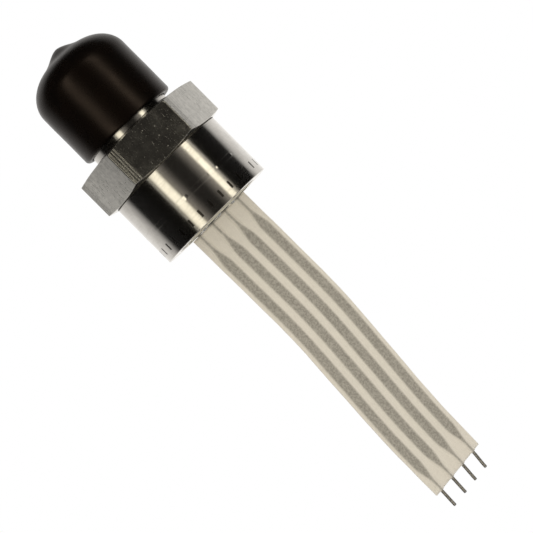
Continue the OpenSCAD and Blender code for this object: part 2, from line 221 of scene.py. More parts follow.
def rounded_outline(corners, closed=True):
    """Rounds the corners of an outline of (x, radius, fillet), with a row close to each side."""
    outline = []
    for k, (x, r, fillet) in enumerate(corners):
        here = Vector((x, r))
        if not closed and k in (0, len(corners) - 1):
            outline.append(here)
            continue
        back = (Vector(corners[k - 1][:2]) - here).normalized()
        ahead = (Vector(corners[(k + 1) % len(corners)][:2]) - here).normalized()
        if not fillet:
            outline += [here + back * SUPPORT, here, here + ahead * SUPPORT]
            continue
        half = back.angle(ahead) / 2
        centre = here + (back + ahead).normalized() * fillet / math.sin(half)
        start = here + back * fillet / math.tan(half) - centre
        end = here + ahead * fillet / math.tan(half) - centre
        outline.append(centre + start + back * SUPPORT)
        for step in range(ARC_STEPS + 1):
            outline.append(centre + start.slerp(end, step / ARC_STEPS).normalized() * fillet)
        outline.append(centre + end + ahead * SUPPORT)
    return outline


def grid_faces(rows, columns, closed_rows):
    """Quads between rows of points, where each row is a ring."""
    row_count = rows if closed_rows else rows - 1
    faces = []
    for i in range(row_count):
        low, high = i * columns, (i + 1) % rows * columns
        for j in range(columns):
            ahead = (j + 1) % columns
            faces.append((low + j, high + j, high + ahead, low + ahead))
    return faces


def turned_ring(name, outline, columns, material):
    """A solid with a hole, turned about the X axis from a closed outline of (x, radius)."""
    angles = [2 * math.pi * j / columns for j in range(columns)]
    points = [(x, r * math.cos(a), r * math.sin(a)) for x, r in outline for a in angles]
    return make_piece(name, points, grid_faces(len(outline), columns, True), [material])


# ---- Material helpers ----


class Look:
    """A material in the making: one Principled shader and the nodes that feed it."""

    def __init__(self, name, **sockets):
        self.material = bpy.data.materials.new(name)
        self.material.use_nodes = True
        self.tree = self.material.node_tree
        self.shader = self.tree.nodes["Principled BSDF"]
        for socket, value in sockets.items():
            self.shader.inputs[socket.replace("_", " ")].default_value = value

    def node(self, kind, inputs, output=0, **settings):
        """Adds a node, sets or links its inputs by name or number and returns one output."""
        made = self.tree.nodes.new("ShaderNode" + kind)
        for key, value in settings.items():
            setattr(made, key, value)
        for key, value in inputs.items():
            if isinstance(value, bpy.types.NodeSocket):
                self.tree.links.new(value, made.inputs[key])
            else:
                made.inputs[key].default_value = value
        return made.outputs[output]

    def place(self, stretch=(1, 1, 1)):
        """The point on the piece in millimetres, with each axis stretched."""
        raw = self.node("TexCoord", {}, "Object")
        return self.node("Mapping", {"Vector": raw, "Scale": [s / MM for s in stretch]})

    def grain(self, stretch, detail=3.0, roughness=0.6, distortion=0.0):
        """Noise from 0 to 1. stretch is how fine it is along each axis."""
        inputs = {
            "Vector": self.place(stretch),
            "Scale": 1.0,
            "Detail": detail,
            "Roughness": roughness,
            "Distortion": distortion,
        }
        return self.node("TexNoise", inputs)

    def cells(self, size):
        """Distance from the nearest of many scattered points, in cell widths."""
        return self.node("TexVoronoi", {"Vector": self.place(), "Scale": 1 / size})

    def math(self, operation, a, b=0.0):
        """One sum on numbers or node outputs."""
        return self.node("Math", {0: a, 1: b}, operation=operation)

    def product(self, a, b):
        """a times b."""
        return self.math("MULTIPLY", a, b)

    def total(self, a, b):
        """a plus b."""
        return self.math("ADD", a, b)

    def spread(self, value, low, high, out_low=0.0, out_high=1.0):
        """Takes value from low..high to out_low..out_high with soft ends."""
        inputs = {
            "Value": value,
            "From Min": low,
            "From Max": high,
            "To Min": out_low,
            "To Max": out_high,
        }
        return self.node("MapRange", inputs, interpolation_type="SMOOTHSTEP")

    def blend(self, share, first, second):
        """The first colour where share is 0 and the second where it is 1."""
        made = self.tree.nodes.new("ShaderNodeMix")
        made.data_type = "RGBA"
        for socket, value in ((0, share), (6, first), (7, second)):
            if isinstance(value, bpy.types.NodeSocket):
                self.tree.links.new(value, made.inputs[socket])
            else:
                made.inputs[socket].default_value = value if socket == 0 else (*value, 1)
        return made.outputs[2]

    def attribute(self, name):
        """The number that add_values gave to the points of a piece."""
        return self.node("Attribute", {}, "Fac", attribute_name=name)

    def drive(self, socket, value):
        """Links a node output to one of the shader's sockets."""
        self.tree.links.new(value, self.shader.inputs[socket])

    def relief(self, *heights):
        """Bumps the surface by (height output, depth in millimetres) pairs."""
        normal = None
        for height, depth in heights:
            inputs = {"Height": height, "Distance": depth * MM, "Strength": 1.0}
            if normal:
                inputs["Normal"] = normal
            normal = self.node("Bump", inputs)
        self.drive("Normal", normal)


# ---- Materials: metals ----

# Grain sizes are in grains to a millimetre and the depths of reliefs in millimetres
STEEL = (0.62, 0.60, 0.565)
STEEL_DIM = (0.50, 0.48, 0.45)
BAR = (0.58, 0.565, 0.525)
BAR_DIM = (0.42, 0.41, 0.385)
ETCHED = (0.06, 0.055, 0.05)
SCRATCHED = (0.25, 0.24, 0.22)
SPECK = (0.8, 0.79, 0.75)


def turned_steel(name, ticks=False):
    """Stainless steel off the lathe: fine rings, faint stains and a glow along the axis."""
    look = Look(name, Metallic=1.0, Anisotropic=0.82, Anisotropic_Rotation=0.25)
    rings = look.grain((26, 0.5, 0.5), detail=2)
    stains = look.grain((0.35, 0.5, 0.5), detail=4)
    tone = look.total(look.product(rings, 0.5), look.product(stains, 0.5))
    colour = look.blend(look.spread(tone, 0.35, 0.65), STEEL_DIM, STEEL)
    rough = look.spread(tone, 0.3, 0.7, 0.23, 0.17)
    if ticks:
        mark = etched_ticks(look)
        colour = look.blend(mark, colour, ETCHED)
        rough = look.math("MAXIMUM", rough, look.product(mark, 0.5))
    look.drive("Base Color", colour)
    look.drive("Roughness", rough)
    look.drive("Tangent", look.node("Tangent", {}, direction_type="RADIAL", axis="X"))
    look.relief((rings, 0.0006))
    return look.material


# The tick band: its place and length in millimetres, and a tick's share of its spacing
TICK_COUNT = 30
TICK_X = REAR_X - 1.6
TICK_HALF_LEN = 0.6
TICK_HALF_SHARE = 0.1
TICK_BLUR = 0.07
BAND_BLUR = 0.05
TICK_INNER_R = CELL_R - 1
TICK_OUTER_R = CELL_R - 0.5


def etched_ticks(look):
    """1 on a plain band of evenly spaced etched ticks round the cell's outside, 0 elsewhere."""
    parts = look.tree.nodes.new("ShaderNodeSeparateXYZ")
    look.tree.links.new(look.place(), parts.inputs[0])
    turn = look.math("ARCTAN2", parts.outputs[2], parts.outputs[1])
    ring = look.math("FRACT", look.product(turn, TICK_COUNT / (2 * math.pi)))
    from_tick = look.math("ABSOLUTE", look.math("SUBTRACT", ring, 0.5))
    worn = look.product(look.grain((5, 5, 5)), 0.08)
    tick_end = TICK_HALF_SHARE + TICK_BLUR
    narrow = look.spread(look.total(from_tick, worn), tick_end, TICK_HALF_SHARE)
    from_band = look.math("ABSOLUTE", look.math("SUBTRACT", parts.outputs[0], TICK_X))
    inside = look.spread(from_band, TICK_HALF_LEN + BAND_BLUR, TICK_HALF_LEN - BAND_BLUR)
    squares = [look.product(parts.outputs[i], parts.outputs[i]) for i in (1, 2)]
    outer = look.spread(look.total(*squares), TICK_INNER_R ** 2, TICK_OUTER_R ** 2)
    return look.product(look.product(narrow, inside), outer)


# Tool lines near one edge of each flat: radians of their wave to a millimetre
TOOL_LINES = 15.0


def bar_steel():
    """The hexagon's flats: drawn bar with fine streaks, scuffs, specks and tool lines."""
    look = Look("drawn bar steel", Metallic=1.0)
    streaks = look.grain((0.25, 7, 7), detail=3)
    scuffs = look.grain((1.6, 1.6, 1.6), detail=6, roughness=0.7)
    patches = look.grain((0.3, 0.45, 0.45), detail=3)
    scratches = look.spread(look.grain((1.2, 9, 9), detail=2, distortion=1.5), 0.66, 0.74)
    specks = look.spread(look.cells(0.8), 0.13, 0.05)
    tone = look.total(look.product(streaks, 0.4), look.product(scuffs, 0.6))
    colour = look.blend(look.spread(tone, 0.35, 0.65), BAR_DIM, BAR)
    across = look.attribute("across_flat")
    lines = look.spread(look.math("SINE", look.product(across, TOOL_LINES)), 0.1, 0.9)
    grooves = look.product(lines, look.spread(across, 3.9, 4.2))
    worn = look.product(look.spread(across, 3.4, 4.4), look.spread(streaks, 0.3, 0.6))
    colour = look.blend(look.product(worn, 0.4), colour, SCRATCHED)
    look.drive("Base Color", look.blend(look.product(specks, 0.5), colour, SPECK))
    rough = look.spread(tone, 0.35, 0.7, 0.25, 0.15)
    rough = look.total(rough, look.product(scratches, 0.12))
    rough = look.total(rough, look.spread(patches, 0.4, 0.65, 0, 0.06))
    look.drive("Roughness", look.total(rough, look.product(specks, 0.2)))
    look.relief(
        (grooves, 0.022), (streaks, 0.003), (scuffs, 0.005), (scratches, 0.004), (specks, 0.01)
    )
    return look.material


def plain_metal(name, colour, dim, rough, grain, depth):
    """A bare metal with cloudy tone and fine grain."""
    look = Look(name, Metallic=1.0)
    cloud = look.grain((grain, grain, grain), detail=5)
    look.drive("Base Color", look.blend(look.spread(cloud, 0.3, 0.7), dim, colour))
    look.drive("Roughness", look.spread(cloud, 0.3, 0.7, rough + 0.1, rough - 0.04))
    look.relief((cloud, depth))
    return look.material


# ---- Materials: plastics, papers and the rest ----

VINYL = (0.0024, 0.0015, 0.0011)
VINYL_RUBBED = (0.0044, 0.0028, 0.002)
DUST = (0.2, 0.18, 0.16)
PAPER = (0.92, 0.885, 0.845)
PAPER_DIM = (0.82, 0.785, 0.745)
PAPER_STAIN = (0.76, 0.73, 0.69)
# Film over a conductor: partly the conductor's own tone through the paper, partly painted shade
# where it blocks the light from below
WIRE_AND_SHADE = (0.50, 0.48, 0.455)
WIRE_AND_SHADE_DIM = (0.31, 0.295, 0.275)
# Half-width of the soft border between bare film and film over a conductor, in millimetres
COVER_BLUR = 0.22


def black_vinyl():
    """Soft dip-moulded vinyl: nearly black with a brown cast, faint orange peel and dust."""
    look = Look("black vinyl", IOR=1.32, Specular_Tint=(1, 0.78, 0.68, 1))
    peel = look.grain((2.2, 2.2, 2.2), detail=2)
    fine = look.grain((9, 9, 9), detail=3)
    dust = look.spread(look.cells(0.55), 0.035, 0.0)
    rubbed = look.grain((0.35, 0.35, 0.35), detail=4)
    base = look.blend(look.spread(rubbed, 0.35, 0.65), VINYL, VINYL_RUBBED)
    look.drive("Base Color", look.blend(look.product(dust, 0.25), base, DUST))
    look.drive("Roughness", look.spread(rubbed, 0.35, 0.65, 0.31, 0.25))
    look.relief((peel, 0.006), (fine, 0.0015))
    return look.material


def aramid_film():
    """Calendered aramid paper with the flattened conductors showing through it, darkened further by
    painted shade where they block the light from below.
    """
    look = Look("aramid film", Roughness=0.62, Specular_IOR_Level=0.35)
    fibres = look.grain((7, 7, 7), detail=6, roughness=0.75, distortion=0.6)
    clouds = look.grain((1.6, 1.6, 1.6), detail=3)
    flecks = look.grain((3.4, 3.4, 3.4), detail=4, roughness=0.8)
    paper = look.blend(look.spread(fibres, 0.3, 0.7), PAPER_DIM, PAPER)
    paper = look.blend(look.spread(clouds, 0.45, 0.75, 0, 0.3), paper, PAPER_STAIN)
    # The tone over the conductors: their colour through the paper, darkened further as painted
    # shade for the light they block
    copper = look.blend(look.spread(flecks, 0.38, 0.62), WIRE_AND_SHADE_DIM, WIRE_AND_SHADE)
    from_wire = look.total(look.attribute("from_wire"), look.product(fibres, 0.16))
    covered = look.spread(from_wire, COVER_BLUR, -COVER_BLUR)
    look.drive("Base Color", look.blend(covered, paper, copper))
    look.relief((fibres, 0.008), (clouds, 0.006))
    return look.material


SOLID_DEPTH = 0.003


def dull_solid(name, light, dark, rough, grain, **sockets):
    """A non-metal with cloudy tone and a slightly uneven surface."""
    look = Look(name, **sockets)
    cloud = look.grain((grain, grain, grain), detail=5)
    look.drive("Base Color", look.blend(look.spread(cloud, 0.3, 0.7), dark, light))
    look.drive("Roughness", look.spread(cloud, 0.3, 0.7, rough + 0.08, rough - 0.05))
    look.relief((cloud, SOLID_DEPTH))
    return look.material


LOOKS = {
    "turned": turned_steel("turned steel"),
    "marked": turned_steel("turned steel with ticks", ticks=True),
    "bar": bar_steel(),
    "vinyl": black_vinyl(),
    "paper": aramid_film(),
}

# Key, name, light and dark colour, roughness, grains to a millimetre and depth in millimetres
METALS = [
    # The groove behind the hexagon: dark steel whose colour is painted shade in the recess
    ("groove_shade", "steel with painted groove shade", (0.26, 0.245, 0.215), (0.12, 0.11, 0.095), 0.5, 4.0, 0.002),
    ("foil", "diaphragm foil", (0.70, 0.69, 0.66), (0.6, 0.59, 0.56), 0.2, 1.5, 0.002),
    ("kovar", "header alloy", (0.55, 0.52, 0.45), (0.42, 0.39, 0.33), 0.4, 2.0, 0.002),
    ("gold", "gold plating", (0.86, 0.62, 0.26), (0.74, 0.52, 0.2), 0.28, 6.0, 0.002),
    ("solder", "solder", (0.66, 0.67, 0.68), (0.5, 0.5, 0.51), 0.3, 5.0, 0.006),
    ("tinned", "tinned copper", (0.56, 0.54, 0.51), (0.36, 0.34, 0.32), 0.36, 5.0, 0.006),
    ("tracks", "printed tracks", (0.5, 0.48, 0.44), (0.38, 0.36, 0.33), 0.5, 8.0, 0.004),
]

COATED = {"Coat_Weight": 0.6}
HALF_METAL = {"Metallic": 0.6}

# The same, with the shader's other sockets in place of the depth
SOLIDS = [
    ("ceramic", "alumina", (0.80, 0.77, 0.68), (0.70, 0.67, 0.58), 0.55, 6.0, {}),
    ("silicone", "silicone", (0.74, 0.72, 0.66), (0.62, 0.60, 0.54), 0.4, 2.0, {}),
    ("resistor", "resistor ink", (0.02, 0.022, 0.026), (0.01, 0.011, 0.014), 0.5, 9.0, {}),
    ("glass", "seal glass", (0.06, 0.16, 0.13), (0.04, 0.11, 0.09), 0.14, 3.0, COATED),
    ("pedestal", "pedestal glass", (0.62, 0.74, 0.76), (0.5, 0.62, 0.65), 0.12, 2.0, {}),
    ("silicon", "silicon", (0.075, 0.08, 0.095), (0.05, 0.055, 0.07), 0.15, 2.0, HALF_METAL),
]

for key, *recipe in METALS:
    LOOKS[key] = plain_metal(*recipe)
for key, *recipe, sockets in SOLIDS:
    LOOKS[key] = dull_solid(*recipe, **sockets)


# ---- Camera, floor and light ----

VIEW_TURN = math.radians(45.1)
VIEW_LEAN = math.radians(3.5)
VIEW_CENTRE = Vector((39.84, -0.115, 0))
VIEW_DISTANCE = 335
VIEW_WIDTH = 76.1
SENSOR_WIDTH = 36
CLIP_START = 0.01


def make_camera():
    """Looks down on the sensor, with its axis running to the lower right."""
    back = Vector((0, -math.sin(VIEW_LEAN), math.cos(VIEW_LEAN)))
    axis = Vector((1, 0, 0))
    side = back.cross(axis)
    right = axis * math.cos(VIEW_TURN) + side * math.sin(VIEW_TURN)
    up = side * math.cos(VIEW_TURN) - axis * math.sin(VIEW_TURN)
    data = bpy.data.cameras.new("camera")
    data.sensor_width = SENSOR_WIDTH
    data.lens = SENSOR_WIDTH * VIEW_DISTANCE / VIEW_WIDTH
    data.clip_start = CLIP_START
    camera = bpy.data.objects.new("camera", data)
    place = (VIEW_CENTRE + back * VIEW_DISTANCE) * MM
    turn = Matrix((right, up, back)).transposed().to_4x4()
    camera.matrix_world = Matrix.Translation(place) @ turn
    bpy.context.scene.collection.objects.link(camera)
    bpy.context.scene.camera = camera


ACROSS = (0, 1, 0)
ALL_ROUND = (1, 1, 0)


def glow(name, colour, middle, edge=None, fade=1.0, stretch=ACROSS):
    """A plain light-giving surface. With edge, its strength turns from middle into edge over
    the outer fade share of its half-width, or all round where stretch takes in X too."""
    material = bpy.data.materials.new(name)
    material.use_nodes = True
    tree = material.node_tree
    tree.nodes.clear()
    shader = tree.nodes.new("ShaderNodeEmission")
    shader.inputs["Color"].default_value = (*colour, 1)
    shader.inputs["Strength"].default_value = middle
    if edge is not None:
        position = tree.nodes.new("ShaderNodeTexCoord")
        kept = tree.nodes.new("ShaderNodeVectorMath")
        kept.operation = "MULTIPLY"
        kept.inputs[1].default_value = stretch
        aside = tree.nodes.new("ShaderNodeVectorMath")
        aside.operation = "LENGTH"
        turning = tree.nodes.new("ShaderNodeMapRange")
        turning.interpolation_type = "SMOOTHSTEP"
        turning.inputs["From Min"].default_value = 1
        turning.inputs["From Max"].default_value = 1 - fade
        turning.inputs["To Min"].default_value = edge
        turning.inputs["To Max"].default_value = middle
        tree.links.new(position.outputs["Object"], kept.inputs[0])
        tree.links.new(kept.outputs[0], aside.inputs[0])
        tree.links.new(aside.outputs["Value"], turning.inputs["Value"])
        tree.links.new(turning.outputs[0], shader.inputs["Strength"])
    output = tree.nodes.new("ShaderNodeOutputMaterial")
    tree.links.new(shader.outputs[0], output.inputs["Surface"])
    return material


def panel(name, centre, normal, length, width, material):
    """A flat stage panel that faces along normal, its length along X, or Y where it faces X."""
    mesh = bpy.data.meshes.new(name)
    mesh.from_pydata([(-1, -1, 0), (1, -1, 0), (1, 1, 0), (-1, 1, 0)], [], [(0, 1, 2, 3)])
    mesh.materials.append(material)
    made = bpy.data.objects.new(name, mesh)
    facing = Vector(normal).normalized()
    along = Vector((0, 1, 0)) if abs(facing.x) > 0.9 else Vector((1, 0, 0))
    turn = Matrix((along, facing.cross(along), facing)).transposed().to_4x4()
    size = Matrix.Diagonal((length / 2 * MM, width / 2 * MM, 1, 1))
    made.matrix_world = Matrix.Translation(Vector(centre) * MM) @ turn @ size
    bpy.context.scene.collection.objects.link(made)
    return made


def reflection_only(made):
    """Shows a panel in gloss only: it neither shows itself nor shades anything."""
    made.visible_camera = False
    made.visible_diffuse = False
    made.visible_shadow = False
    made.visible_transmission = False


# Reaches are distances from the sensor's axis, in millimetres; angles are in degrees
STUDIO_X = 30
SOFTBOX_REACH = 260
SOFTBOX_LENGTH = 760


def softbox(name, angle, spread, material):
    """A long panel overhead, parallel to the sensor, angle degrees from the top towards +Y."""
    turn = math.radians(angle)
    away = Vector((0, math.sin(turn), math.cos(turn)))
    width = 2 * SOFTBOX_REACH * math.tan(math.radians(spread / 2))
    centre = Vector((STUDIO_X, 0, 0)) + away * SOFTBOX_REACH
    made = panel(name, centre, -away, SOFTBOX_LENGTH, width, material)
    made.visible_camera = False
    return made


CARD_LENGTH = 420
CARD_COLOUR = (1, 0.85, 0.7)
CARD_GLOW = 0.003


def dark_card(name, away, reach, top_angle):
    """A black card on the away side of the sensor, up to top_angle degrees from overhead."""
    top = reach / math.tan(math.radians(top_angle))
    centre = Vector(away) * reach + Vector((0, 0, (top + FLOOR_Z) / 2))
    if away[0] == 0:
        centre.x = STUDIO_X
    black = glow(name, CARD_COLOUR, CARD_GLOW)
    reflection_only(panel(name, centre, -Vector(away), CARD_LENGTH, top - FLOOR_Z, black))


FLOOR_SIZE = 6000
SHEET_LIFT = 0.02
SHEET_SHIFT = 5
SIDE_REACH = 80
FRONT_REACH = 20
WHITE = (1, 1, 1)
WARM = (1.0, 0.94, 0.77)
DIM = (1.0, 0.92, 0.82)
PALE = (1, 0.98, 0.95)
ROOM = (0.57, 0.54, 0.475)


def make_stage():
    """White floor, two strip lights, dark cards, a dim ceiling and the floor seen in gloss."""
    white = glow("white floor", WHITE, 1.0)
    panel("floor", (STUDIO_X, 0, FLOOR_Z), (0, 0, 1), FLOOR_SIZE, FLOOR_SIZE, white)
    right = glow("softbox right", WARM, 2.0, edge=0, fade=0.15)
    softbox("softbox_right", 43.5, 12.4, right)
    left = glow("softbox left", WARM, 1.75, edge=0, fade=0.5)
    softbox("softbox_left", -31.5, 22, left)
    above = glow("dim ceiling", DIM, 0.022, edge=0.3, fade=0.75)
    reflection_only(softbox("ceiling", 6.9, 60, above))
    dark_card("dark_card_right", (0, 1, 0), SIDE_REACH, 53.5)
    dark_card("dark_card_left", (0, -1, 0), SIDE_REACH - SHEET_SHIFT, 44)
    dark_card("dark_card_front", (-1, 0, 0), FRONT_REACH, 40)
    below = glow("floor in gloss", PALE, 1.1, edge=0.08, fade=0.94, stretch=ALL_ROUND)
    place = (STUDIO_X, SHEET_SHIFT, FLOOR_Z + SHEET_LIFT)
    size = 2 * SIDE_REACH
    reflection_only(panel("floor_sheet", place, (0, 0, 1), size, size, below))


def make_world():
    """A dim warm room all round, which the camera sees as plain white."""
    world = bpy.data.worlds.new("studio")
    world.use_nodes = True
    tree = world.node_tree
    room = tree.nodes["Background"]
    room.inputs["Color"].default_value = (*ROOM, 1)
    backdrop = tree.nodes.new("ShaderNodeBackground")
    backdrop.inputs["Color"].default_value = (*WHITE, 1)
    rays = tree.nodes.new("ShaderNodeLightPath")
    choice = tree.nodes.new("ShaderNodeMixShader")
    tree.links.new(rays.outputs["Is Camera Ray"], choice.inputs[0])
    tree.links.new(room.outputs[0], choice.inputs[1])
    tree.links.new(backdrop.outputs[0], choice.inputs[2])
    tree.links.new(choice.outputs[0], tree.nodes["World Output"].inputs["Surface"])
    bpy.context.scene.world = world
    bpy.context.scene.view_settings.view_transform = "Standard"


# ---- Port fitting ----


def thread_reach(x, angle):
    """Radius of the right-hand pipe thread, chamfered at its mouth and run out at its end."""
    crest = CREST_R + x * TAPER
    turns = (x - FIRST_ROOT_X) / THREAD_PITCH - angle / (2 * math.pi)
    from_root = abs(turns - round(turns)) * THREAD_PITCH
    to_crest = THREAD_PITCH / 2 - HALF_CREST_FLAT
    flank = (to_crest - from_root) / (to_crest - HALF_ROOT_FLAT)
    fade = smooth((THREAD_END_X + RUNOUT / 2 - x) / THREAD_PITCH)
    return crest - THREAD_DEPTH * fade * min(max(flank, 0), 1)


def off_flat(angle):
    """Turn from the middle of the nearest flat of the hexagon."""
    return (angle % HEX_SECTOR) - HEX_SECTOR / 2


def hex_reach(angle):
    """Radius of the hexagon, with its corners at +Y and -Y just broken."""
    to_flat = HEX_HALF / math.cos(off_flat(angle))
    return smooth_min(to_flat, HEX_CORNER_R - CORNER_BREAK, CORNER_BLEND)


NOSE_ROWS = 96
FRONT_CONE_ROWS = 20
FLAT_ROWS = 8
REAR_CONE_ROWS = 10
NECK_STEP = 0.06
CONE_INSET = 0.1
CLEAR_OF_HEX = 0.2


def fitting_outline():
    """Closed outline of (x, radius): nose, hexagon's envelope, flange, chamber and bore."""
    nose_xs = steps_between(NOSE_CHAMFER, THREAD_END_X, NOSE_ROWS)
    nose = [(x, CREST_R + x * TAPER) for x in nose_xs]
    runout_x = THREAD_END_X + RUNOUT
    corner_x = NOSE_LEN + (HEX_CORNER_R - FRONT_CHAMFER_R) * FRONT_SLOPE
    rear_corner_x = HEX_END_X - (HEX_CORNER_R - REAR_CHAMFER_R) * REAR_SLOPE
    start_x = NOSE_LEN + CONE_INSET
    start_r = FRONT_CHAMFER_R + CONE_INSET / FRONT_SLOPE
    neck = [
        (runout_x, NECK_R, 0),
        (runout_x + NECK_STEP, NECK_R, 0),
        (NOSE_LEN, NECK_R, 0.15),
        (start_x, start_r, 0),
    ]
    cone = [
        (x, FRONT_CHAMFER_R + (x - NOSE_LEN) / FRONT_SLOPE)
        for x in steps_between(start_x, corner_x, FRONT_CONE_ROWS)
    ]
    flat_xs = steps_between(corner_x, rear_corner_x, FLAT_ROWS)
    flats = [(x, HEX_CORNER_R + CLEAR_OF_HEX) for x in flat_xs]
    rear_cone = [
        (x, REAR_CHAMFER_R + (HEX_END_X - x) / REAR_SLOPE)
        for x in steps_between(rear_corner_x, HEX_END_X, REAR_CONE_ROWS)
    ]
    rear = [
        (HEX_END_X, REAR_CHAMFER_R, 0),
        (HEX_END_X, RELIEF_R, 0.03),
        (RELIEF_END_X, RELIEF_R, 0.03),
        (RELIEF_END_X, CELL_R, 0.04),
        (weld_low.x, CELL_R, 0),
        (SEAM_X - (SEAM_X - weld_low.x) / 2, CELL_R - WELD_DEPTH, 0),
        (SEAM_X, CELL_R - WELD_DEPTH, 0),
        (SEAM_X, CHAMBER_R, 0.04),
        (CHAMBER_X, CHAMBER_R, 0.04),
        (CHAMBER_X, CHAMBER_THROAT_R, 0.04),
        (BORE_END_X, BORE_R, 0.3),
        (0, BORE_R, 0.12),
        (0, CREST_R - NOSE_CHAMFER, 0.08),
        nose[0] + (0,),
    ]
    neck = rounded_outline(neck, closed=False)
    rear = rounded_outline(rear, closed=False)
    return nose + neck[:-1] + cone + flats[1:-1] + rear_cone + rear[1:-1]


# Degrees from each corner of the hexagon at which the skin has another column
CORNER_EXTRAS = (-0.5, -0.25, 0.25, 0.5)
CLIP_DEPTH = 0.03
# Face materials; the groove's one carries painted shade
TURNED, BAR_FACE, GROOVE_SHADE = range(3)


def fitting_angles():
    """Whole degrees, and closer together at the hexagon's corners."""
    corners = [60 * k + extra for k in range(6) for extra in CORNER_EXTRAS]
    near_corner = [math.radians(degrees) % (2 * math.pi) for degrees in corners]
    return sorted([k * math.radians(1) for k in range(360)] + near_corner)


def fitting_reach(x, r, angle):
    """Radius of the fitting's skin where its outline has the radius r."""
    outside = r > BORE_R + 1
    if outside and x < THREAD_END_X + RUNOUT:
        return min(r, thread_reach(x, angle))
    if NOSE_LEN <= x <= HEX_END_X:
        return smooth_min(r, hex_reach(angle), CONE_BLEND)
    return r


def fitting_looks(outline, clipped):
    """Material of each face: bar on the flats, dark steel painted with the recess's shade in the
    groove and turned steel elsewhere.
    """
    looks = []
    for i, (x, _) in enumerate(outline):
        ahead = (i + 1) % len(outline)
        next_x = outline[ahead][0]
        on_hex = x >= NOSE_LEN and next_x <= HEX_END_X
        # The groove's faces get the dark steel that paints the shade in the recess
        elsewhere = GROOVE_SHADE if HEX_END_X <= x and next_x <= RELIEF_END_X else TURNED
        for here, after in zip(clipped[i], clipped[ahead]):
            looks.append(BAR_FACE if on_hex and here and after else elsewhere)
    return looks


def make_fitting():
    """The port fitting: one closed skin whose radius changes with the angle."""
    angles = fitting_angles()
    outline = fitting_outline()
    points, across, clipped = [], [], []
    for x, r in outline:
        reaches = [fitting_reach(x, r, angle) for angle in angles]
        for angle, reach in zip(angles, reaches):
            points.append((x, reach * math.cos(angle), reach * math.sin(angle)))
            across.append(reach * math.sin(off_flat(angle)))
        clipped.append([reach < r - CLIP_DEPTH for reach in reaches])
    faces = grid_faces(len(outline), len(angles), True)
    materials = [LOOKS["turned"], LOOKS["bar"], LOOKS["groove_shade"]]
    looks = fitting_looks(outline, clipped)
    piece = make_piece("fitting_body", points, faces, materials, looks)
    add_values(piece, "across_flat", across)
    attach(piece, "sensor")
    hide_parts("port_fitting")


# ---- Sensor cell and weld ----

# Blemishes left by the weld: degrees from overhead towards +Y, place in the seam and size
BLEMISHES = [
    (-11.3, -0.02, 0.4),
    (48, 0.05, 0.22),
    (27.3, 0.05, 0.2),
    (16.8, -0.1, 0.16),
    (-95, 0, 0.3),
    (130, 0.1, 0.3),
]
WELD_COLUMNS = 720
WELD_ROWS = 12
WELD_INSET = 0.02
WELD_EDGE = 0.1
SCALLOP = 0.002
BLEMISH_RISE = 0.03


def weld_bump(x, angle):
    """Height of the blemishes and the bead's faint scallops at a point on the seam."""
    height = SCALLOP * ripple((x * 2, angle * 30, 0), 1)
    for degrees, shift, size in BLEMISHES:
        turn = math.pi / 2 - math.radians(degrees)
        off = math.remainder(angle - turn, 2 * math.pi) * CELL_R
        ragged = 1 + 0.5 * ripple((x * 9, angle * CELL_R * 9, degrees), 1)
        apart = math.hypot(off, x - SEAM_X - shift) / size * ragged
        height += BLEMISH_RISE * smooth(1.2 - apart)
    return height


def make_weld():
    """The weld ring: nearly flush, with a few rough spots."""
    width = weld_high.x - weld_low.x
    root_r = CELL_R - WELD_DEPTH
    inner = steps_between(weld_low.x + WELD_INSET, weld_high.x - WELD_INSET, WELD_ROWS)
    top = [(x, CELL_R) for x in (weld_low.x, *inner, weld_high.x)]
    outline = top + [(SEAM_X + width / 4, root_r), (SEAM_X - width / 4, root_r)]
    points = []
    for x, r in outline:
        edge = smooth((width / 2 - abs(x - SEAM_X)) / WELD_EDGE)
        for j in range(WELD_COLUMNS):
            angle = 2 * math.pi * j / WELD_COLUMNS
            reach = r + (weld_bump(x, angle) * edge if r == CELL_R else 0)
            points.append((x, reach * math.cos(angle), reach * math.sin(angle)))
    faces = grid_faces(len(outline), WELD_COLUMNS, True)
    piece = make_piece("weld_ring", points, faces, [LOOKS["turned"]])
    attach(piece, "sensor")
    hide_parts("weld_seam")


def make_cell():
    """The sensor cell's shell, with its rear edge broken and the recess behind the header."""
    outline = rounded_outline(
        [
            (SEAM_X, OIL_R, 0.03),
            (SEAM_X, CELL_R - WELD_DEPTH, 0),
            (SEAM_X + (weld_high.x - SEAM_X) / 2, CELL_R - WELD_DEPTH, 0),
            (weld_high.x, CELL_R, 0),
            (REAR_X - REAR_EDGE, CELL_R, 0.04),
            (REAR_X, CELL_R - REAR_EDGE, 0.04),
            (REAR_X, RECESS_R, 0.1),
            (RECESS_X, RECESS_R, 0.1),
            (RECESS_X, HEADER_R, 0),
            (HEADER_X, HEADER_R, 0),
            (HEADER_X, OIL_R, 0.03),
        ]
    )
    piece = turned_ring("cell_shell", outline, 256, LOOKS["marked"])
    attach(piece, "sensor")
    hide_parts("cell_body")


# ---- Protective cap ----


def nub_rise(from_centre):
    """Height of the nub over the closed end: a blunt cone that runs out in a fillet."""
    fall = math.hypot(NUB_SLOPE * from_centre, NUB_BLUNT) - NUB_BLUNT
    fade = smooth((NUB_REACH - from_centre) / NUB_FADE)
    return -smooth_min(fall - NUB_HEIGHT, 0, NUB_FILLET) * fade


END_ROWS = 12
SHOULDER_ROWS = 40
SHOULDER_FIRM = 16
SIDE_ROWS = 16
LIP_ROWS = 9
INNER_ROWS = 12
EDGE_INSET = 0.12
EDGE_SOFT = 0.03
FLOOR_EDGE = 0.05
INNER_RIM_WANDER = 0.3
INNER_START = 0.1


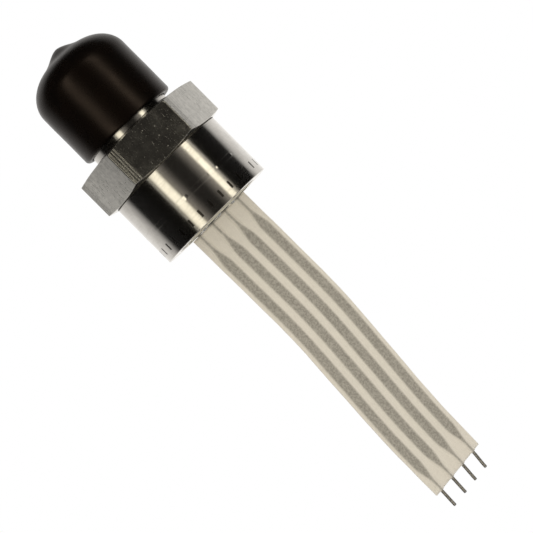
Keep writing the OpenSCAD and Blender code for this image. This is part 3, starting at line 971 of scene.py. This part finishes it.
def cap_outside():
    """Rows of the cap's outside, from the pole to the lip."""
    flat_r = CAP_R - SHOULDER_REACH
    rows = [(CAP_END_X, r, CAP_OFFSET, 0, 0) for r in steps_between(0, flat_r, END_ROWS)]
    for k in range(1, SHOULDER_ROWS + 1):
        turn = math.pi / 2 * k / SHOULDER_ROWS
        x = CAP_END_X + CAP_SHOULDER * (1 - math.cos(turn))
        r = flat_r + SHOULDER_REACH * math.sin(turn)
        rows.append((x, r, CAP_OFFSET, 0, smooth(k / SHOULDER_FIRM)))
    side_x = CAP_END_X + CAP_SHOULDER
    for k in range(1, SIDE_ROWS + 1):
        share = k / SIDE_ROWS
        x = side_x + (RIM_X - CAP_LIP - side_x) * share
        rows.append((x, CAP_R, CAP_OFFSET, share, 1))
    for k in range(1, LIP_ROWS + 1):
        turn = math.pi / 2 * k / LIP_ROWS
        x = RIM_X - CAP_LIP + CAP_LIP * math.sin(turn)
        rows.append((x, CAP_R - CAP_LIP * (1 - math.cos(turn)), CAP_OFFSET, 1, 1))
    return rows


def cap_inside():
    """Rows of the cap's inside, from the lip to the pole, a little clear of the thread."""
    mouth_r = CREST_R + NOSE_CHAMFER * TAPER + CAP_WALL_GAP
    inner_r = mouth_r + (RIM_X - NOSE_CHAMFER) * TAPER
    start_x = RIM_X - EDGE_INSET
    end_x = NOSE_CHAMFER - INNER_START
    rows = [
        (RIM_X, inner_r + EDGE_INSET, 0, 1, INNER_RIM_WANDER),
        (RIM_X - EDGE_SOFT, inner_r + EDGE_SOFT, 0, 1, INNER_RIM_WANDER),
        (start_x, inner_r, 0, 1, INNER_RIM_WANDER),
    ]
    for k in range(1, INNER_ROWS + 1):
        share = k / INNER_ROWS
        x = start_x + (end_x - start_x) * share
        rows.append((x, inner_r + (mouth_r - inner_r) * share, 0, 1 - share, 0))
    floor_r = mouth_r - (end_x - CAP_FLOOR_X)
    rows.append((CAP_FLOOR_X + FLOOR_EDGE, floor_r + FLOOR_EDGE, 0, 0, 0))
    for r in (floor_r - FLOOR_EDGE, floor_r / 2, 0):
        rows.append((CAP_FLOOR_X, r, 0, 0, 0))
    return rows


def cap_rows():
    """Rows of (x, radius, sideways offset, tilt share, wander) from the outer pole to the inner."""
    return cap_outside() + cap_inside()


CAP_COLUMNS = 256
CAP_DENT = 0.03
DENT_SIZE = 4
CAP_WALL_END = 0.2


def cap_point(x, r, offset, tilt, wander, angle):
    """A point of the cap's skin: dented a little, leaning at the lip, and raised at the nub."""
    y, z = math.cos(angle), math.sin(angle)
    dent = CAP_DENT * wander * (ripple((x, y * 7, z * 7), DENT_SIZE) - 1)
    lean = tilt * math.tan(RIM_TILT) * (r * y + offset)
    if x < CAP_FLOOR_X - CAP_WALL_END:
        lean -= nub_rise(math.hypot(r * y - NUB_OFFSET, r * z))
    return x + lean, (r + dent) * y + offset, (r + dent) * z


def make_cap():
    """The pull-off cap: a hollow dipped shell, a little off centre, with an uneven lip."""
    first, *rings, last = cap_rows()
    angles = [2 * math.pi * j / CAP_COLUMNS for j in range(CAP_COLUMNS)]
    points = [(first[0] - nub_rise(NUB_OFFSET), CAP_OFFSET, 0)]
    points += [cap_point(*ring, angle) for ring in rings for angle in angles]
    points.append((last[0], 0, 0))
    pole = len(points) - 1
    edge = pole - CAP_COLUMNS
    ahead = [(j + 1) % CAP_COLUMNS for j in range(CAP_COLUMNS)]
    faces = [(1 + j, 1 + ahead[j], 0) for j in range(CAP_COLUMNS)]
    for face in grid_faces(len(rings), CAP_COLUMNS, False):
        faces.append(tuple(index + 1 for index in face))
    faces += [(pole, edge + ahead[j], edge + j) for j in range(CAP_COLUMNS)]
    piece = make_piece("cap_shell", points, faces, [LOOKS["vinyl"]])
    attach(piece, "cap")
    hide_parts("end_cap")


# ---- Flat jumper ----


def spline(a, b, c, d, t):
    """Smooth curve from b to c, with a before it and d after it."""
    bend = 2 * a - 5 * b + 4 * c - d
    twist = 3 * b - a - 3 * c + d
    return 0.5 * (2 * b + (c - a) * t + bend * t * t + twist * t * t * t)


def route_point(t):
    """Place on the route at t, counted in stations, and the roll there in degrees."""
    points = [Vector(p) for p in ROUTE]
    ends = [2 * points[0] - points[1], *points, 2 * points[-1] - points[-2]]
    i = min(int(t), len(ROUTE) - 2)
    q = spline(*ends[i:i + 4], t - i)
    return Vector(q[:3]), q[3]


STATIONS = len(ROUTE) - 1
SAMPLES = 200
TANGENT_STEP = 0.02
ROUNDING = 1e-9


def measure_route():
    """Distance along the jumper at each sample of its route."""
    places = [route_point(STATIONS * k / SAMPLES)[0] for k in range(SAMPLES + 1)]
    runs = [0]
    for before, after in zip(places, places[1:]):
        runs.append(runs[-1] + (after - before).length)
    return runs


RUNS = measure_route()
RIBBON_LEN = RUNS[-1]


def frame_at(u):
    """Centre, across and up of the jumper at a distance u along it, straight beyond its ends."""
    inside = min(max(u, 0), RIBBON_LEN)
    k = next(k for k in range(1, SAMPLES + 1) if RUNS[k] >= inside - ROUNDING)
    share = (inside - RUNS[k - 1]) / (RUNS[k] - RUNS[k - 1])
    t = STATIONS / SAMPLES * (k - 1 + share)
    place, degrees = route_point(t)
    roll = math.radians(degrees)
    after = route_point(min(t + TANGENT_STEP, STATIONS))[0]
    before = route_point(max(t - TANGENT_STEP, 0))[0]
    along = Vector((1, 0, 0)) if u < 0 else (after - before).normalized()
    flat = Vector((0, 0, 1)).cross(along).normalized()
    lift = along.cross(flat)
    across = flat * math.cos(roll) - lift * math.sin(roll)
    up = along.cross(across)
    return place + Vector((RIBBON_X, 0, 0)) + (u - inside) * along, across, up


def flatness(u):
    """0 where the conductors are round and 1 where they are rolled flat."""
    near = smooth((u - NEAR_NECK) / NEAR_FLARE)
    far = smooth((RIBBON_LEN - FAR_NECK - u) / FAR_FLARE)
    return min(near, far)


def half_width(u):
    """Half the width of a conductor at u."""
    return PIN_D / 2 + (FLAT_W - PIN_D) / 2 * flatness(u)


def half_depth(u):
    """Half the thickness of a conductor at u."""
    return PIN_D / 2 + (FLAT_T - PIN_D) / 2 * flatness(u)


def lead_place(i, u):
    """Place of conductor i across the jumper, which lies a little off centre at the free end."""
    drift = LEAD_DRIFT * smooth((u - DRIFT_START) / DRIFT_LEN)
    return (i - (LEAD_COUNT - 1) / 2) * LEAD_PITCH - drift


RIDGE_STEPS = 5
SELVAGE = 0.04


def film_places(u):
    """Places across the film, each with its nearest conductor's place."""
    w = half_width(u)
    slope = [RIDGE * k / RIDGE_STEPS for k in range(RIDGE_STEPS + 1)]
    offsets = [-w - RIDGE + step for step in slope[:-1]]
    offsets += [-w, -w * 0.6, 0, w * 0.6, w]
    offsets += [w + step for step in slope[1:]]
    edge = RIBBON_W / 2
    first, last = lead_place(0, u), lead_place(LEAD_COUNT - 1, u)
    places = [(-edge, first), (-edge + SELVAGE, first)]
    for i in range(LEAD_COUNT):
        centre = lead_place(i, u)
        places += [(centre + offset, centre) for offset in offsets]
        if i < LEAD_COUNT - 1:
            places.append((centre + LEAD_PITCH / 2, centre))
    places += [(edge - SELVAGE, last), (edge, last)]
    return places


FILM_ROWS = 130
WANDER_SIZE = 2.2
BORDER_START = 4.6
BORDER_FADE = 0.3


def film_row(u, flip):
    """Points round the film at a distance u, and how far each is from its conductor's edge."""
    place, across, up = frame_at(u)
    w, t = half_width(u), half_depth(u)
    outer, inner, from_wire = [], [], []
    for y, centre in film_places(u):
        apart = abs(y - centre) - w
        rise = t * smooth(1 - apart / RIDGE)
        wander = FILM_WANDER * ripple((u, y, flip * 3), WANDER_SIZE)
        border = smooth((abs(y) - BORDER_START) / BORDER_FADE)
        at = place + across * (y + EDGE_WANDER * ripple((u, y, 9), 3) * border)
        outer.append(at + flip * up * (FILM_T + rise + wander))
        inner.append(at + flip * up * max(rise + wander, 0.0))
        from_wire.append(apart)
    return outer + inner[::-1], from_wire + from_wire[::-1]


def film_faces(rows, columns):
    """Quads along the film's skin and over its two ends."""
    faces = grid_faces(rows, columns, False)
    last = (rows - 1) * columns
    for j in range(columns // 2 - 1):
        below = columns - 1 - j
        faces.append((j + 1, below - 1, below, j))
        faces.append((last + j, last + below, last + below - 1, last + j + 1))
    return faces


def make_film(name, node, flip):
    """One of the jumper's two films, moulded over the conductors. flip is 1 above, -1 below."""
    points, from_wire = [], []
    for u in steps_between(0, RIBBON_LEN, FILM_ROWS):
        row, apart = film_row(u, flip)
        points += row
        from_wire += apart
    faces = film_faces(FILM_ROWS + 1, len(row))
    if flip < 0:
        faces = [tuple(reversed(face)) for face in faces]
    piece = make_piece(name, points, faces, [LOOKS["paper"]])
    add_values(piece, "from_wire", from_wire)
    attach(piece, "sensor")
    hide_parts(node)
    return piece


LEAD_SIDES = 24
NEAR_END_BREAK = 0.02
PIN_END_BREAK = 0.03
END_SHRINK = 0.88
SQUARENESS = 0.35


def lead_stations():
    """Distances of a conductor's rings, closer together where its shape changes."""
    flat_start = NEAR_NECK + NEAR_FLARE
    flat_end = RIBBON_LEN - FAR_NECK - FAR_FLARE
    round_start = RIBBON_LEN - FAR_NECK
    end = RIBBON_LEN + PIN_LEN
    stretches = [
        (0, NEAR_NECK, 4),
        (NEAR_NECK, flat_start, 8),
        (flat_start, flat_end, 60),
        (flat_end, round_start, 10),
        (round_start, end - PIN_END_BREAK, 8),
    ]
    stations = [-LEAD_IN, -LEAD_IN + NEAR_END_BREAK, 0]
    for start, stop, count in stretches:
        stations += steps_between(start, stop, count)[1:]
    return stations + [end]


def lead_ring(i, u, shrink):
    """Points round conductor i at a distance u: a circle, or nearly a box where it is flat."""
    place, across, up = frame_at(u)
    w, t = half_width(u) * shrink, half_depth(u) * shrink
    power = 1 - SQUARENESS * flatness(u)
    middle = lead_place(i, u) + PIN_BENDS[i] * smooth((u - RIBBON_LEN) / PIN_LEN)
    ring = []
    for j in range(LEAD_SIDES):
        turn = 2 * math.pi * j / LEAD_SIDES
        y = w * math.copysign(abs(math.cos(turn)) ** power, math.cos(turn))
        z = t * math.copysign(abs(math.sin(turn)) ** power, math.sin(turn))
        ring.append(place + across * (middle + y) + up * z)
    return ring


def make_lead(i):
    """One conductor: a round wire, rolled flat between its two round ends."""
    stations = lead_stations()
    ends = (stations[0], stations[-1])
    points = []
    for u in stations:
        points += lead_ring(i, u, END_SHRINK if u in ends else 1)
    last = len(points) - LEAD_SIDES
    faces = grid_faces(len(stations), LEAD_SIDES, False)
    faces.append(tuple(reversed(range(LEAD_SIDES))))
    faces.append(tuple(last + j for j in range(LEAD_SIDES)))
    piece = make_piece(f"lead_{i + 1}", points, faces, [LOOKS["tinned"]])
    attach(piece, "sensor")
    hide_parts(f"conductor_{i + 1}")
    return piece


def make_jumper():
    """The jumper: two films bonded over four leads, which hangs from the board."""
    leads = [make_lead(i) for i in range(LEAD_COUNT)]
    top = make_film("upper_film", "ribbon_top_film", 1)
    bottom = make_film("lower_film", "ribbon_bottom_film", -1)


# ---- CAD nodes that stay: materials and broken edges ----

NODE_LOOKS = {
    "diaphragm": "foil",
    "diaphragm_ring": "turned",
    "ceramic_spacer": "ceramic",
    "header": "kovar",
    "glass_beads": "glass",
    "header_pins": "gold",
    "fill_ball": "solder",
    "vent_tube": "turned",
    "die_pedestal": "pedestal",
    "sense_die": "silicon",
    "bond_wires": "gold",
    "board_adhesive": "silicone",
    "compensation_board": "ceramic",
    "board_tracks": "tracks",
    "trim_resistors": "resistor",
    "pin_joints": "solder",
    "lead_joints": "solder",
}

# Width of the bevel on the edges of some of them, in millimetres
BEVELS = {
    "compensation_board": 0.05,
    "header": 0.05,
    "vent_tube": 0.04,
    "header_pins": 0.05,
    "ceramic_spacer": 0.06,
}


def finish_cad_nodes():
    """Gives each CAD node that still shows its material and, where it helps, a fine bevel."""
    for name, look in NODE_LOOKS.items():
        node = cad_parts[name]
        node.data.materials.clear()
        node.data.materials.append(LOOKS[look])
        if name in BEVELS:
            bevel = node.modifiers.new("edge", "BEVEL")
            bevel.width = BEVELS[name] * MM
            bevel.segments = 2
            bevel.limit_method = "ANGLE"


make_camera()
make_stage()
make_world()
make_jumper()
make_fitting()
make_weld()
make_cell()
make_cap()
finish_cad_nodes()
